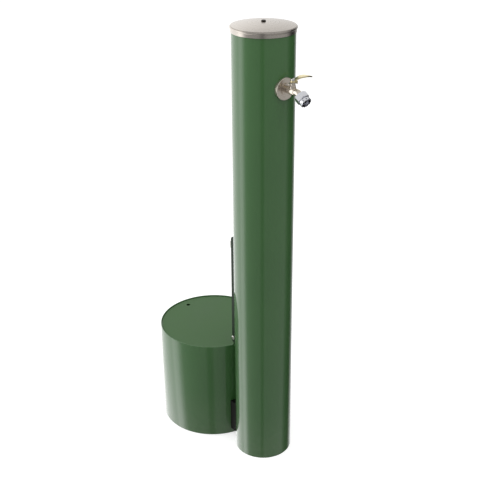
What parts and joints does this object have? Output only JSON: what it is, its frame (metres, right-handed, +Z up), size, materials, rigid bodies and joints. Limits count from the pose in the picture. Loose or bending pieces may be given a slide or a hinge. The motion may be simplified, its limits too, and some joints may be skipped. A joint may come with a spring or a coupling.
{
  "type": "garden standpipe",
  "caption": "Round garden standpipe with a quarter-turn lever tap, a stainless cap and a lidded hose drum bolted to the back of its column",
  "frame": {"origin": "on the floor, on the column's axis, at the middle of the floor socket's bolt circle", "axes": "+Z up along the column; the tap points along -Y and the hose drum stands on the +Y side; the closed lever points along +X"},
  "size_m": [0.25, 0.4498, 1.0066],
  "materials": {
    "green_coat": "semi-gloss powder coat",
    "dark_coat": "matt powder coat",
    "stainless": "brushed",
    "dark_steel": "blackened",
    "nickel": "satin nickel plate",
    "chrome": "polished",
    "raw_brass": "polished, slightly dulled",
    "black_rubber": "matt",
    "pale_rubber": "matt",
    "dark_plastic": "matt",
    "white_plastic": "smooth"
  },
  "bodies": {
    "root": {"column_tube": "green_coat", "floor_socket": "dark_coat", "foot_screws": "stainless", "cap": "stainless", "cap_gasket": "black_rubber", "cap_bridge": "stainless", "cap_screw": "dark_steel", "tap_rosette": "nickel", "rosette_seal": "black_rubber", "tap_body": "nickel", "ball_seats": "white_plastic", "seat_retainer": "raw_brass", "stem_packing": "white_plastic", "gland_nut": "nickel", "union_nut": "chrome", "union_washer": "black_rubber", "hose_connector": "chrome", "elbow_saddle": "dark_plastic", "wall_elbow": "raw_brass", "inlet_fitting": "raw_brass", "supply_riser": "stainless", "riser_nuts": "raw_brass", "riser_clips": "dark_plastic", "drum_shell": "green_coat", "drum_base": "green_coat", "lid_ledge": "green_coat", "drum_feet": "black_rubber", "foot_bolts": "stainless", "foot_nuts": "stainless", "drum_spacer": "dark_plastic", "tie_bolts": "stainless", "tie_washers": "stainless", "tie_nuts": "stainless", "rail": "green_coat", "rail_screws": "stainless", "rail_nuts": "stainless", "lid_rest": "pale_rubber", "hinge_pin": "stainless", "hinge_nut": "stainless"},
    "tap_lever": {"lever": "raw_brass", "lever_nut": "dark_steel", "valve_stem": "raw_brass", "valve_ball": "chrome"},
    "lid": {"lid_sleeve": "green_coat", "lid_plate": "green_coat"}
  },
  "joints": [
    {"name": "lever_turn", "type": "hinge", "parent": "root", "child": "tap_lever", "pos_m": [0, -0.0886, 0.8825], "axis": [0, 0, -1], "range_deg": [0, 90]},
    {"name": "lid_hinge", "type": "hinge", "parent": "root", "child": "lid", "pos_m": [0, 0.071, 0.265], "axis": [1, 0, 0], "range_deg": [0, 92]}
  ]
}
